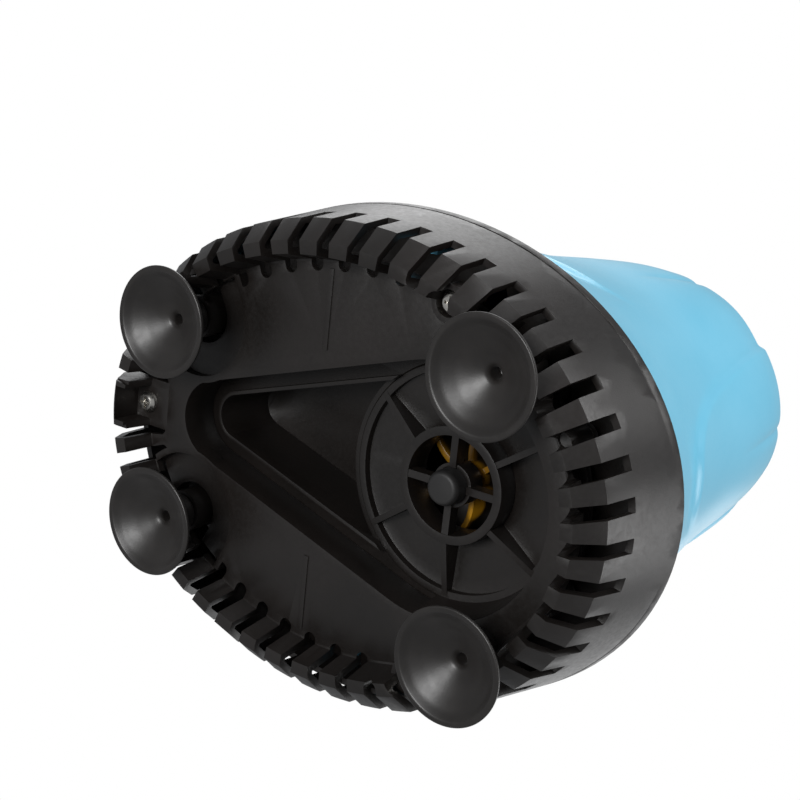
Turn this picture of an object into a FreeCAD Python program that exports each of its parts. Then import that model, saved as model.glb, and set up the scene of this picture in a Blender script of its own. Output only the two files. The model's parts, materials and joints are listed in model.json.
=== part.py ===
import FreeCAD, Part
import math
import os

# Submersible bottom-suction pump that stands on four suction cups.
# Frame: origin on the resting plane below the centre of the base, +Z up, +X towards the
# narrow front end of the base, millimetres.

V = FreeCAD.Vector

# ---- driving dimensions -----------------------------------------------------------------
ROTOR_X = -26.0            # rotor axis, behind the centre of the base
CUP_R = 15.0               # suction cup rim
CUP_FLAT = 1.6             # width of the flat ring that touches the ground
RIM_Z = 6.0                # lowest face of the strainer
CREASE_Z = 12.0            # top of the chamfer round the rim
FLOOR_Z = 15.0             # underside of the floor plate
SKIRT_TOP_Z = 39.0         # top edge of the black skirt
EDGE_LINE_Z = (36.0, 36.7)  # groove that sets off the rim at the top edge of the skirt
WALL = 2.0                 # moulded wall thickness
SLOT_COUNT = 45            # pitch of the comb round the skirt, a slot on the centre line at the rear
SLOT_W = 3.8
SLOT_TOP_Z = 21.5
COVER_TOP_Z = 150.0        # scalloped top edge of the blue cover
COVER_WALL = 2.2
EYE_R = 12.9               # suction eye
HUB_RING_R = 15.2
DISH_R = 30.0              # round part of the intake cover
RIB_ANGLES = (35.5, 90, 145.5, 214.5, 270, 324.5)  # ribs of the dish
LEDGE_Z = 26.5             # flange of the intake cover
FLANGE_TOP_Z = 28.5
POCKET_TOP_Z = 44.0        # ceiling of the pocket beside the volute
CHAMBER_Z = (31.0, 46.0)   # floor and ceiling of the pump chamber
IMPELLER_R = 24.0
VANES = 6
FIRST_VANE = -38.0         # angle of the root of the first vane at rest
SHAFT_R = 2.0
RUN_FIT = 0.05             # radial clearance of the shaft in its bushes
RISER_X = ROTOR_X + 39.5   # axis of the outlet pipe
PIPE_R = (9.0, 11.0)       # bore and outside of the outlet pipe
TOWER_TOP_Z = 60.0         # seat of the motor on the volute casing
MOTOR_R = 27.0
CAN_R = (11.4, 12.4)       # bore and outside of the rotor can
MAGNET_R = 10.7
MAGNET_Z = (64.0, 103.0)
CORE_Z = (70.0, 102.0)     # stator laminations
SHAFT_Z = (21.6, 110.6)
BUSH_R = 4.3               # outside of the rear bush
SCREW_HOLE_R = 1.6
VOLUTE_EAR_R = 35.9        # circle of the volute screws round the rotor
VOLUTE_SCREW_ANGLES = (75, 128, 232, 285)
MOTOR_SCREW_R = 16.6
MOTOR_SCREW_ANGLES = (60, 180, 300)
POSTS = [(ROTOR_X + 44.0, 27.0), (ROTOR_X + 44.0, -27.0), (ROTOR_X - 32.0, 20.0), (ROTOR_X - 32.0, -20.0)]
DECK_Z = (31.2, 32.8)      # plate that closes the strainer from above
MOULD_LINE_X = 10.2
TAB = (-11.5, 56.6, 7.0, 22.4)  # snap tab of the cover behind the comb: x, y, width, lower end
CUP_DRAW = math.radians(62.0)  # direction in which the front cup recesses open
GLAND = (ROTOR_X - 14.0, 0.0)
COVER_CROWN_Z = 156.0
LIP_Z = 34.5               # lower edge of the lip of the cover inside the skirt

# Outlines of the base at four heights: centre x, half length, half width
RIM_INNER = (2.65, 69.65, 53.5)
RIM_OUTER = (2.85, 73.15, 56.9)
CREASE = (1.65, 77.65, 62.4)
SKIRT_TOP = (0.0, 82.0, 65.1)
FLOOR_EDGE = (3.0, 68.0, 51.5)

# Outlines of the blue cover: foot, middle, scalloped edge, crown
COVER_FOOT = (-0.2, 80.2, 63.5)
COVER_MID = (-6.6, 64.8, 52.4)
COVER_EDGE = (-14.8, 48.8, 44.5)
COVER_CROWN = (-14.4, 41.0, 36.0)

# Teardrop opening: big circle on the rotor axis, small circle at the nose
TEAR_R = 32.9
NOSE_R = 11.4
NOSE_X = ROTOR_X + 72.0

FRONT_CUP = (54.8, 27.8)
REAR_CUP = (-44.6, 35.6)
CUPS = {
    "front_left": (FRONT_CUP[0], FRONT_CUP[1]),
    "front_right": (FRONT_CUP[0], -FRONT_CUP[1]),
    "rear_left": (REAR_CUP[0], REAR_CUP[1]),
    "rear_right": (REAR_CUP[0], -REAR_CUP[1]),
}
FRONT_SCREW = (71.0, 0.0)
POCKET_HALF = 4.8          # half width of the pocket of the front screw
SIDE_BOSS_Z = 11.2
SIDE_SCREW = (-27.0, 48.0)

parts = {}


# ---- helpers ----------------------------------------------------------------------------
def ellipse_wire(outline, z, offset=0.0):
    cx, a, b = outline
    curve = Part.Ellipse(V(cx, 0, z), a + offset, b + offset)
    return Part.Wire([curve.toShape()])


def loft(sections):
    """Ruled solid through (outline, z, offset) sections."""
    return Part.makeLoft([ellipse_wire(*s) for s in sections], True, True)


def cylinder(r, z0, z1, x=0.0, y=0.0):
    return Part.makeCylinder(r, z1 - z0, V(x, y, z0))


def cone(r0, r1, z0, z1, x=0.0, y=0.0):
    return Part.makeCone(r0, r1, z1 - z0, V(x, y, z0))


def box(x0, x1, y0, y1, z0, z1):
    return Part.makeBox(x1 - x0, y1 - y0, z1 - z0, V(x0, y0, z0))


def turned(profile, x=0.0, y=0.0):
    """Solid of revolution about a vertical axis from (r, z) points."""
    points = [V(r, 0, z) for r, z in profile]
    face = Part.Face(Part.makePolygon(points + [points[0]]))
    solid = face.revolve(V(0, 0, 0), V(0, 0, 1), 360)
    solid.translate(V(x, y, 0))
    return solid


def ring(r_in, r_out, z0, z1, x=0.0, y=0.0):
    return cylinder(r_out, z0, z1, x, y).cut(cylinder(r_in, z0 - 1, z1 + 1, x, y))


def teardrop_wire(grow, z):
    """Outline tangent to the big and the nose circle, both grown by the same amount."""
    big = TEAR_R + grow
    nose = NOSE_R + grow
    reach = NOSE_X - ROTOR_X
    lean = math.asin((big - nose) / reach)
    sx, sy = math.sin(lean), math.cos(lean)
    p1 = V(ROTOR_X + big * sx, big * sy, z)
    p2 = V(ROTOR_X + big * sx, -big * sy, z)
    q1 = V(NOSE_X + nose * sx, nose * sy, z)
    q2 = V(NOSE_X + nose * sx, -nose * sy, z)
    back = Part.Arc(p1, V(ROTOR_X - big, 0, z), p2).toShape()
    front = Part.Arc(q2, V(NOSE_X + nose, 0, z), q1).toShape()
    sides = [Part.makeLine(p2, q2), Part.makeLine(q1, p1)]
    return Part.Wire([back, sides[0], front, sides[1]])


def teardrop(grow, z0, z1, grow_top=None):
    top = grow if grow_top is None else grow_top
    return Part.makeLoft([teardrop_wire(grow, z0), teardrop_wire(top, z1)], True, True)


def hex_prism(across_flats, z0, z1, x=0.0, y=0.0):
    r = across_flats / math.sqrt(3)
    points = [V(x + r * math.cos(math.radians(60 * k)), y + r * math.sin(math.radians(60 * k)), z0)
              for k in range(7)]
    return Part.Face(Part.makePolygon(points)).extrude(V(0, 0, z1 - z0))


def pan_screw(x, y, z_head, length, head_r=2.9, shank_r=1.5, up=True):
    """Cross-recessed pan head; the shank runs up from the head unless up is False."""
    head = turned([(0, 0), (head_r * 0.75, 0), (head_r, 0.9), (head_r, 2.0), (0, 2.0)])
    shank = cylinder(shank_r, 1.9, 2.0 + length)
    screw = head.fuse(shank)
    slot = box(-1.7, 1.7, -0.35, 0.35, -1, 1.1).fuse(box(-0.35, 0.35, -1.7, 1.7, -1, 1.1))
    screw = screw.cut(slot)
    if not up:
        screw.rotate(V(0, 0, 0), V(1, 0, 0), 180)
    screw.translate(V(x, y, z_head))
    return screw


def on_ellipse(outline, angle):
    """Point and outward normal angle on an outline at an ellipse parameter."""
    cx, a, b = outline
    normal = math.atan2(a * math.sin(angle), b * math.cos(angle))
    return cx + a * math.cos(angle), b * math.sin(angle), normal


def slot_parameters(outline, count):
    """Ellipse parameters of the comb slots: equal arcs from the rear, crowded away from the front pocket."""
    steps = 3600
    lengths = [0.0]
    for k in range(steps):
        x0, y0, _ = on_ellipse(outline, math.pi + 2 * math.pi * k / steps)
        x1, y1, _ = on_ellipse(outline, math.pi + 2 * math.pi * (k + 1) / steps)
        lengths.append(lengths[-1] + math.hypot(x1 - x0, y1 - y0))
    found = []
    k = 0
    for i in range(count):
        from_front = i - count / 2.0
        crowd = 0.4 * max(0.0, 1.0 - (abs(from_front) - 0.5) / 4.0)
        target = lengths[-1] * (i + math.copysign(crowd, from_front)) / count
        while lengths[k] < target:
            k += 1
        found.append(math.pi + 2 * math.pi * k / steps)
    return found


# ---- strainer base: skirt with comb, floor plate, teardrop opening -----------------------
def radial_slot(x, y, normal, depth, width, z0, z1):
    """Slot along the wall normal, open outwards, with a rounded inner end."""
    cut = box(-depth, 12, -width / 2, width / 2, z0, z1)
    cut = cut.fuse(cylinder(width / 2, z0, z1, -depth, 0))
    cut.rotate(V(0, 0, 0), V(0, 0, 1), math.degrees(normal))
    cut.translate(V(x, y, 0))
    return cut


def make_strainer():
    mid_wall = (0.7, 79.3, 63.3)
    outer = loft([(RIM_OUTER, RIM_Z, 0), (CREASE, CREASE_Z, 0), (SKIRT_TOP, SKIRT_TOP_Z, 0)])
    under = loft([(RIM_INNER, RIM_Z - 1, 0.2), (FLOOR_EDGE, FLOOR_Z, 0)])
    core = loft([(RIM_INNER, RIM_Z + 1.9, 1.7), (FLOOR_EDGE, FLOOR_Z + WALL, WALL)])
    upper = loft([(RIM_OUTER, RIM_Z + WALL, -0.9), (CREASE, CREASE_Z + 1.3, -1.6),
                  (SKIRT_TOP, SKIRT_TOP_Z + 0.1, -WALL)])
    solid = outer.cut(under).cut(upper.cut(core))
    band = loft([(SKIRT_TOP, EDGE_LINE_Z[0], 2.0), (SKIRT_TOP, EDGE_LINE_Z[1], 2.0)])
    solid = solid.cut(band.cut(loft([(SKIRT_TOP, EDGE_LINE_Z[0], -0.6), (SKIRT_TOP, EDGE_LINE_Z[1], -0.5)])))

    cuts = []
    for angle in slot_parameters(mid_wall, SLOT_COUNT):
        x, y, normal = on_ellipse(mid_wall, angle)
        near_well = math.hypot(x - SIDE_SCREW[0], abs(y) - SIDE_SCREW[1] - 12.0) < 7.5
        near_cup = min(math.hypot(x - cx, y - cy) for cx, cy in CUPS.values()) < 24.0
        depth = 8.6 if near_well else 11.5 + 0.8 * (1 + math.cos(angle))
        if near_cup:
            depth = min(depth, 10.0)
        cuts.append(radial_slot(x, y, normal, depth, SLOT_W, 0, SLOT_TOP_Z))

    # round pockets that leave room for the necks of the cups close to the rim
    for x, y in CUPS.values():
        solid = solid.fuse(cylinder(11.0, RIM_Z, FLOOR_Z + WALL, x, y).common(outer).cut(under))
        solid = solid.cut(cylinder(9.2, 0, FLOOR_Z, x, y))
    solid = solid.cut(Part.makeCompound(cuts))

    # the front screw sits in a pocket that takes a tooth's place, closed towards the front by the
    # skirt; the side screws sit in low bosses beside the comb
    front = box(64.0, 79.0, -POCKET_HALF - WALL, POCKET_HALF + WALL, RIM_Z + 1.0, FLOOR_Z + WALL)
    solid = solid.fuse(front.common(outer).cut(under))
    solid = solid.cut(box(60.0, 75.6, -POCKET_HALF, POCKET_HALF, 0, FLOOR_Z))
    solid = solid.cut(cylinder(1.7, 0, 30, *FRONT_SCREW))
    for side in (1, -1):
        at = (SIDE_SCREW[0], side * SIDE_SCREW[1])
        solid = solid.fuse(cylinder(4.8, SIDE_BOSS_Z, FLOOR_Z + WALL, *at))
        solid = solid.cut(cylinder(3.4, 0, FLOOR_Z - 1.0, *at))
        solid = solid.cut(cylinder(1.7, 0, 30, *at))

    # teardrop opening with its wall up to the flange of the intake cover
    solid = solid.fuse(teardrop(WALL, FLOOR_Z, LEDGE_Z - 0.2))
    solid = solid.cut(teardrop(0, 0, LEDGE_Z + 1))

    # stepped recess over each front cup, open towards the comb
    for name in ("front_left", "front_right"):
        x, y = CUPS[name]
        solid = solid.fuse(cup_recess(x, y, 18.2, FLOOR_Z, FLOOR_Z + 5.0))
        solid = solid.cut(cup_recess(x, y, 16.4, 0, FLOOR_Z + 3.0))
        solid = solid.fuse(cup_recess(x, y, 9.4, FLOOR_Z + 3.0, FLOOR_Z + 10.0))
        solid = solid.cut(cup_recess(x, y, 7.6, 0, FLOOR_Z + 8.0))
        solid = solid.fuse(cylinder(5.8, FLOOR_Z - 1.2, FLOOR_Z + 10.0, x, y))

    # sockets of the cups
    for x, y in CUPS.values():
        solid = solid.fuse(cylinder(5.8, FLOOR_Z - 1.2, FLOOR_Z + 6.0, x, y))
        solid = solid.cut(cylinder(2.6, 0, 40, x, y))
        solid = solid.cut(cylinder(4.4, FLOOR_Z + 3.0, 40, x, y))

    # four posts that carry the pump on the floor plate
    for x, y in POSTS:
        solid = solid.fuse(cylinder(4.0, FLOOR_Z + 1.0, LEDGE_Z - 0.2, x, y))
        solid = solid.cut(cylinder(SCREW_HOLE_R, FLOOR_Z + 5.0, 60, x, y))

    # mould line across the floor plate, beside the teardrop
    for side in (1, -1):
        y0, y1 = sorted((side * 28.0, side * 49.0))
        solid = solid.fuse(box(MOULD_LINE_X, MOULD_LINE_X + 1.6, y0, y1, FLOOR_Z - 0.3, FLOOR_Z + 0.2))

    # the comb is one moulding, the floor plate with its sockets and posts is welded into it
    plate_zone = loft([(FLOOR_EDGE, 0, -0.6), (FLOOR_EDGE, 60, -0.6)])
    plate_zone = plate_zone.cut(box(64.0, 90.0, -POCKET_HALF - WALL, POCKET_HALF + WALL, -1, 60))
    for side in (1, -1):
        plate_zone = plate_zone.cut(cylinder(4.8, -1, 60, SIDE_SCREW[0], side * SIDE_SCREW[1]))
    return solid.common(plate_zone), solid.cut(plate_zone)


def cup_recess(x, y, r, z0, z1):
    """Recess round a front cup, drawn out towards the comb."""
    shape = box(0, 30, -r, r, z0, z1)
    shape.rotate(V(0, 0, 0), V(0, 0, 1), math.copysign(math.degrees(CUP_DRAW), y))
    shape.translate(V(x, y, 0))
    return shape.fuse(cylinder(r, z0, z1, x, y)).common(under_void())


def under_void():
    """Space inside the inner wall of the comb, up to well above the floor plate."""
    return loft([(FLOOR_EDGE, RIM_Z, -0.5), (FLOOR_EDGE, 40, -0.5)])


# ---- intake cover: teardrop flange, pocket and ribbed dish --------------------------------
def make_intake_cover():
    r = DISH_R
    flange = teardrop(4.5, LEDGE_Z, FLANGE_TOP_Z)
    for x, y in POSTS:
        flange = flange.fuse(cylinder(4.0, LEDGE_Z, FLANGE_TOP_Z, x, y))
    ears = [around_rotor(VOLUTE_EAR_R, angle) for angle in VOLUTE_SCREW_ANGLES]
    for x, y in ears:
        flange = flange.fuse(cylinder(3.4, LEDGE_Z, FLANGE_TOP_Z, x, y))
    for x, y in POSTS + ears:
        flange = flange.cut(cylinder(SCREW_HOLE_R, 0, 60, x, y))
    bead = teardrop(-4.2, LEDGE_Z - 2.5, LEDGE_Z + 1.0).cut(teardrop(-5.2, 0, 60))
    skin = teardrop(-3.4, LEDGE_Z, POCKET_TOP_Z + 1.8)
    ahead = box(ROTOR_X, 200, -60, 60, 0, 80)
    solid = flange.fuse(bead).fuse(skin.common(ahead))
    solid = solid.cut(teardrop(-5.2, 0, POCKET_TOP_Z))

    # dish with its rim, and the volute wall that flares down the pocket
    solid = solid.cut(cylinder(r + 1.0, 0, 60, ROTOR_X, 0))
    bore = HUB_RING_R + 0.05
    dish = turned([(bore, 29.2), (r - 1.0, 28.2), (r - 1.0, LEDGE_Z - 0.4), (r + 0.8, LEDGE_Z - 0.4),
                   (r + 2.4, LEDGE_Z + 1.0), (r + 2.6, 31.0), (bore, 31.0)], ROTOR_X, 0)
    flare = cone(r + 2.4, r + 6.5, LEDGE_Z - 0.4, POCKET_TOP_Z + 1.8, ROTOR_X, 0)
    flare = flare.cut(cylinder(r + 0.5, 0, 90, ROTOR_X, 0))
    solid = solid.fuse(dish).fuse(flare.common(skin).common(ahead))
    slope = turned([(r - 0.5, LEDGE_Z - 0.4), (r + 0.8, LEDGE_Z - 0.4), (TEAR_R - 0.1, FLOOR_Z + 0.4),
                    (TEAR_R - 0.1, LEDGE_Z + 1.0), (r - 0.5, LEDGE_Z + 1.0)], ROTOR_X, 0)
    solid = solid.fuse(slope.common(box(-200, ROTOR_X + 2, -60, 60, 0, 60)))
    solid = solid.cut(cylinder(r + 2.7, 31.0, 90, ROTOR_X, 0))

    for angle in RIB_ANGLES:
        profile = [(bore, 22.8), (r + 0.4, LEDGE_Z - 0.4), (r + 0.4, 29.5), (bore, 29.5)]
        corners = [V(x, 0, z) for x, z in profile]
        rib = Part.Face(Part.makePolygon(corners + [corners[0]])).extrude(V(0, 1.6, 0))
        rib.translate(V(0, -0.8, 0))
        rib = rib.cut(cylinder(bore, 0, 60))
        rib.rotate(V(0, 0, 0), V(0, 0, 1), angle)
        rib.translate(V(ROTOR_X, 0, 0))
        solid = solid.fuse(rib)
    return solid.removeSplitter()


# ---- bearing bracket: ring pressed into the suction eye, four spokes and a collar ----------
def make_bearing_bracket():
    solid = ring(EYE_R, HUB_RING_R, 22.6, 31.0, ROTOR_X, 0)
    solid = solid.fuse(cylinder(5.7, 23.6, 29.0, ROTOR_X, 0))
    for angle in (0, 90, 180, 270):
        spoke = box(4.8, EYE_R + 1, -1.0, 1.0, 22.8, 26.4)
        spoke.rotate(V(0, 0, 0), V(0, 0, 1), angle)
        spoke.translate(V(ROTOR_X, 0, 0))
        solid = solid.fuse(spoke)
    return solid.cut(cylinder(4.75, 21.0, 30.0, ROTOR_X, 0)).removeSplitter()


# ---- deck: plate that closes the strainer from above, round the pump -----------------------
def make_deck():
    z0, z1 = DECK_Z
    outline = (0.5, 78.0, 61.6)
    deck = loft([(outline, z0, 0), (outline, z1, 0)])
    deck = deck.cut(cylinder(DISH_R + 3.0, 0, 90, ROTOR_X, 0)).cut(teardrop(-3.0, 0, 60))
    for angle in VOLUTE_SCREW_ANGLES:
        deck = deck.cut(cylinder(3.8, 0, 60, *around_rotor(VOLUTE_EAR_R, angle)))
    for x, y in (FRONT_SCREW, SIDE_SCREW, (SIDE_SCREW[0], -SIDE_SCREW[1])):
        deck = deck.cut(cylinder(3.9, 0, 60, x, y))
    for tab in snap_tabs(0.3):
        deck = deck.cut(tab)
    return deck.removeSplitter()


def snap_tabs(clearance):
    """Tabs of the cover that reach down through the deck, one on each side."""
    x, y, width, z0 = TAB
    half = width / 2 + clearance
    inner = y - clearance
    outer = y + 1.8 + clearance
    top = LIP_Z + 1.8
    left = box(x - half, x + half, inner, outer, z0 - clearance, top)
    right = box(x - half, x + half, -outer, -inner, z0 - clearance, top)
    return [left, right]


# ---- volute casing: pump chamber, tower for the motor, duct to the outlet pipe ------------
def make_volute():
    z0 = CHAMBER_Z[0] + 0.8
    z1 = CHAMBER_Z[1]
    body = cylinder(DISH_R + 2.6, z0, z1 + 2.6, ROTOR_X, 0)
    tower = cylinder(20.0, z1, TOWER_TOP_Z, ROTOR_X, 0)
    duct = box(ROTOR_X + 12.0, RISER_X, -13.0, 13.0, z1, TOWER_TOP_Z)
    duct = duct.fuse(cylinder(12.4, z1 + 1.0, TOWER_TOP_Z + 6.0, RISER_X, 0))
    solid = body.fuse(tower).fuse(duct)
    for angle in VOLUTE_SCREW_ANGLES:
        x, y = around_rotor(VOLUTE_EAR_R, angle)
        solid = solid.fuse(cylinder(3.4, FLANGE_TOP_Z, FLANGE_TOP_Z + 5.6, x, y))
    solid = solid.cut(cylinder(DISH_R + 2.7, 0, z0, ROTOR_X, 0))
    solid = solid.cut(cylinder(DISH_R, z0 - 1, z1, ROTOR_X, 0))
    solid = solid.cut(cylinder(CAN_R[1] + 0.2, z1 - 1, TOWER_TOP_Z + 1, ROTOR_X, 0))
    passage = box(ROTOR_X + 15.0, RISER_X, -11.0, 11.0, z1 + 2.6, TOWER_TOP_Z - 2.0)
    passage = passage.fuse(cylinder(PIPE_R[0], z1 + 3.0, TOWER_TOP_Z + 9.0, RISER_X, 0))
    throat = box(ROTOR_X + 15.0, ROTOR_X + 29.5, -11.0, 11.0, z1 - 1, z1 + 4.0)
    throat = throat.common(cylinder(29.5, 0, 90, ROTOR_X, 0)).cut(cylinder(24.5, 0, 90, ROTOR_X, 0))
    solid = solid.cut(passage).cut(throat)
    solid = solid.cut(cylinder(PIPE_R[1] + 0.1, TOWER_TOP_Z, TOWER_TOP_Z + 9.0, RISER_X, 0))
    for angle in VOLUTE_SCREW_ANGLES:
        x, y = around_rotor(VOLUTE_EAR_R, angle)
        solid = solid.cut(cylinder(SCREW_HOLE_R, 0, 90, x, y))
    for angle in MOTOR_SCREW_ANGLES:
        x, y = around_rotor(MOTOR_SCREW_R, angle)
        solid = solid.cut(cylinder(SCREW_HOLE_R, TOWER_TOP_Z - 9.0, 90, x, y))
    return solid.removeSplitter()


def around_rotor(r, degrees):
    angle = math.radians(degrees)
    return ROTOR_X + r * math.cos(angle), r * math.sin(angle)


# ---- rotor: shaft, magnet, impeller, washer ----------------------------------------------
def make_impeller():
    hub = cylinder(4.6, 29.6, 45.6, ROTOR_X, 0).fuse(cylinder(3.9, 45.0, MAGNET_Z[1], ROTOR_X, 0))
    solid = hub.fuse(cylinder(10.5, 43.8, 45.4, ROTOR_X, 0))
    for k in range(VANES):
        blade = curved_blade(4.0, IMPELLER_R - 0.6, 1.6, 32.4, 45.2)
        blade.rotate(V(0, 0, 0), V(0, 0, 1), FIRST_VANE + 360 / VANES * k)
        blade.translate(V(ROTOR_X, 0, 0))
        solid = solid.fuse(blade)
    solid = solid.cut(cylinder(SHAFT_R, 0, 200, ROTOR_X, 0))
    return solid.removeSplitter()


def curved_blade(r_in, r_out, thickness, z0, z1):
    """Backward-curved vane between two arcs."""
    def point(r, shift, sweep):
        angle = math.radians(sweep)
        c, s = math.cos(angle), math.sin(angle)
        return V(r * c - shift * s, r * s + shift * c, z0)

    h = thickness / 2
    mid = (r_in + r_out) / 2
    side_a = Part.Arc(point(r_in, h, 0), point(mid, h, 11), point(r_out, h, 36)).toShape()
    side_b = Part.Arc(point(r_out, -h, 36), point(mid, -h, 11), point(r_in, -h, 0)).toShape()
    ends = [Part.makeLine(point(r_out, h, 36), point(r_out, -h, 36)),
            Part.makeLine(point(r_in, -h, 0), point(r_in, h, 0))]
    face = Part.Face(Part.Wire([side_a, ends[0], side_b, ends[1]]))
    return face.extrude(V(0, 0, z1 - z0))


def make_magnet():
    solid = ring(3.9, MAGNET_R, MAGNET_Z[0], MAGNET_Z[1], ROTOR_X, 0)
    return solid


# ---- motor -------------------------------------------------------------------------------
def sector(r0, r1, z0, z1, start, sweep):
    points = [V(r0, 0, z0), V(r1, 0, z0), V(r1, 0, z1), V(r0, 0, z1), V(r0, 0, z0)]
    solid = Part.Face(Part.makePolygon(points)).revolve(V(0, 0, 0), V(0, 0, 1), sweep)
    solid.rotate(V(0, 0, 0), V(0, 0, 1), start)
    solid.translate(V(ROTOR_X, 0, 0))
    return solid


def make_motor():
    z0, z1 = CORE_Z
    core = ring(CAN_R[1] + 0.3, 24.0, z0, z1, ROTOR_X, 0)
    for start in (25, 205):
        core = core.cut(sector(14.6, 21.4, z0 - 1, z1 + 1, start, 130))
        core = core.cut(sector(11.0, 15.0, z0 - 1, z1 + 1, start + 61, 8))
    parts["stator_core"] = core
    parts["coil_left"] = sector(15.6, 20.4, z0 - 2.4, z1 + 5.0, 31, 118)
    parts["coil_right"] = sector(15.6, 20.4, z0 - 2.4, z1 + 5.0, 211, 118)
    for name, start in (("bobbin_left", 25.5), ("bobbin_right", 205.5)):
        bobbin = sector(14.7, 21.3, z0 - 3.4, z1 + 6.0, start, 129)
        inner = sector(15.6, 20.4, z0 - 2.4, z1 + 7.0, start + 5.5, 118)
        parts[name] = bobbin.cut(inner)

    can = cylinder(CAN_R[1], TOWER_TOP_Z, 112.0, ROTOR_X, 0)
    can = can.fuse(cylinder(19.9, TOWER_TOP_Z, TOWER_TOP_Z + 1.8, ROTOR_X, 0))
    can = can.cut(cylinder(CAN_R[0], TOWER_TOP_Z - 1, 110.8, ROTOR_X, 0))
    for angle in MOTOR_SCREW_ANGLES:
        can = can.cut(cylinder(SCREW_HOLE_R, 0, 64, *around_rotor(MOTOR_SCREW_R, angle)))
    parts["rotor_can"] = can

    housing = cylinder(MOTOR_R, TOWER_TOP_Z + 1.8, 118.0, ROTOR_X, 0)
    housing = housing.cut(cylinder(MOTOR_R - 2.0, 63.8, 119.0, ROTOR_X, 0))
    housing = housing.cut(cylinder(CAN_R[1] + 0.1, 50, 70, ROTOR_X, 0))
    for angle in MOTOR_SCREW_ANGLES:
        housing = housing.cut(cylinder(SCREW_HOLE_R, 0, 70, *around_rotor(MOTOR_SCREW_R, angle)))
    parts["motor_housing"] = housing

    resin = cylinder(MOTOR_R - 2.1, 63.9, 116.5, ROTOR_X, 0)
    resin = resin.cut(cylinder(CAN_R[1] + 0.05, 50, 112.1, ROTOR_X, 0))
    for name in ("stator_core", "coil_left", "coil_right", "bobbin_left", "bobbin_right"):
        resin = resin.cut(parts[name])
    for angle in MOTOR_SCREW_ANGLES:
        resin = resin.cut(cylinder(3.1, 0, 66.0, *around_rotor(MOTOR_SCREW_R, angle)))
    largest = max(resin.Solids, key=lambda s: s.Volume)
    parts["potting_resin"] = largest

    lid = turned([(0, 118.0), (MOTOR_R, 118.0), (MOTOR_R, 119.6), (MOTOR_R - 2.0, 121.0), (0, 121.0)],
                 ROTOR_X, 0)
    lid = lid.fuse(cylinder(MOTOR_R - 2.2, 117.0, 118.5, ROTOR_X, 0))
    parts["motor_lid"] = lid.cut(cylinder(4.0, 100, 130, GLAND[0] - 2.0, 0)).removeSplitter()


def make_bearings():
    cap = turned([(0, 18.5), (3.4, 18.5), (4.6, 19.4), (4.7, 21.6), (4.7, 28.4), (3.6, 28.4), (3.6, 21.4),
                  (0, 21.4)], ROTOR_X, 0)
    parts["front_bush_seat"] = cap
    parts["front_bush"] = ring(SHAFT_R + RUN_FIT, 3.6, 22.0, 28.4, ROTOR_X, 0)
    parts["thrust_washer"] = ring(SHAFT_R, 4.2, 28.7, 29.6, ROTOR_X, 0)
    parts["rear_bush_seat"] = ring(BUSH_R, CAN_R[0], 105.4, 110.8, ROTOR_X, 0)
    parts["rear_bush"] = ring(SHAFT_R + RUN_FIT, BUSH_R, 104.4, 110.8, ROTOR_X, 0)


# ---- outlet ------------------------------------------------------------------------------
def make_outlet():
    r_in, r_out = PIPE_R
    pipe = ring(r_in, r_out, TOWER_TOP_Z, 162.0, RISER_X, 0)
    shoulder = ring(r_out - 0.5, r_out + 2.2, 147.0, 149.4, RISER_X, 0)
    parts["outlet_pipe"] = pipe.fuse(shoulder).removeSplitter()
    parts["outlet_seal"] = ring(r_out, r_out + 2.4, 156.1, 158.4, RISER_X, 0)
    tail = turned([(r_in - 1.6, 158.6), (r_in - 1.6, 186.0), (r_in + 0.2, 186.0), (r_in + 1.0, 183.4),
                   (r_in + 0.2, 183.4), (r_in + 1.4, 178.6), (r_in + 0.4, 178.6), (r_in + 1.8, 173.0),
                   (r_in + 1.8, 170.0), (r_out + 3.0, 169.0), (r_out + 3.6, 168.0), (r_out + 3.6, 158.6)],
                  RISER_X, 0)
    tail = tail.cut(cylinder(r_out + 0.05, 150, 162.1, RISER_X, 0))
    for k in range(16):
        grip = cylinder(0.9, 158, 167.4, *ring_point(r_out + 4.0, 22.5 * k))
        tail = tail.cut(grip)
    parts["hose_tail"] = tail.removeSplitter()


def ring_point(r, degrees):
    angle = math.radians(degrees)
    return RISER_X + r * math.cos(angle), r * math.sin(angle)


# ---- blue cover --------------------------------------------------------------------------
def cover_body(offset, z_foot):
    return loft([(COVER_FOOT, z_foot, offset), (COVER_MID, 100.0, offset), (COVER_EDGE, COVER_TOP_Z, offset),
                 (COVER_CROWN, COVER_CROWN_Z + offset * 0.9, offset)])


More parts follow.
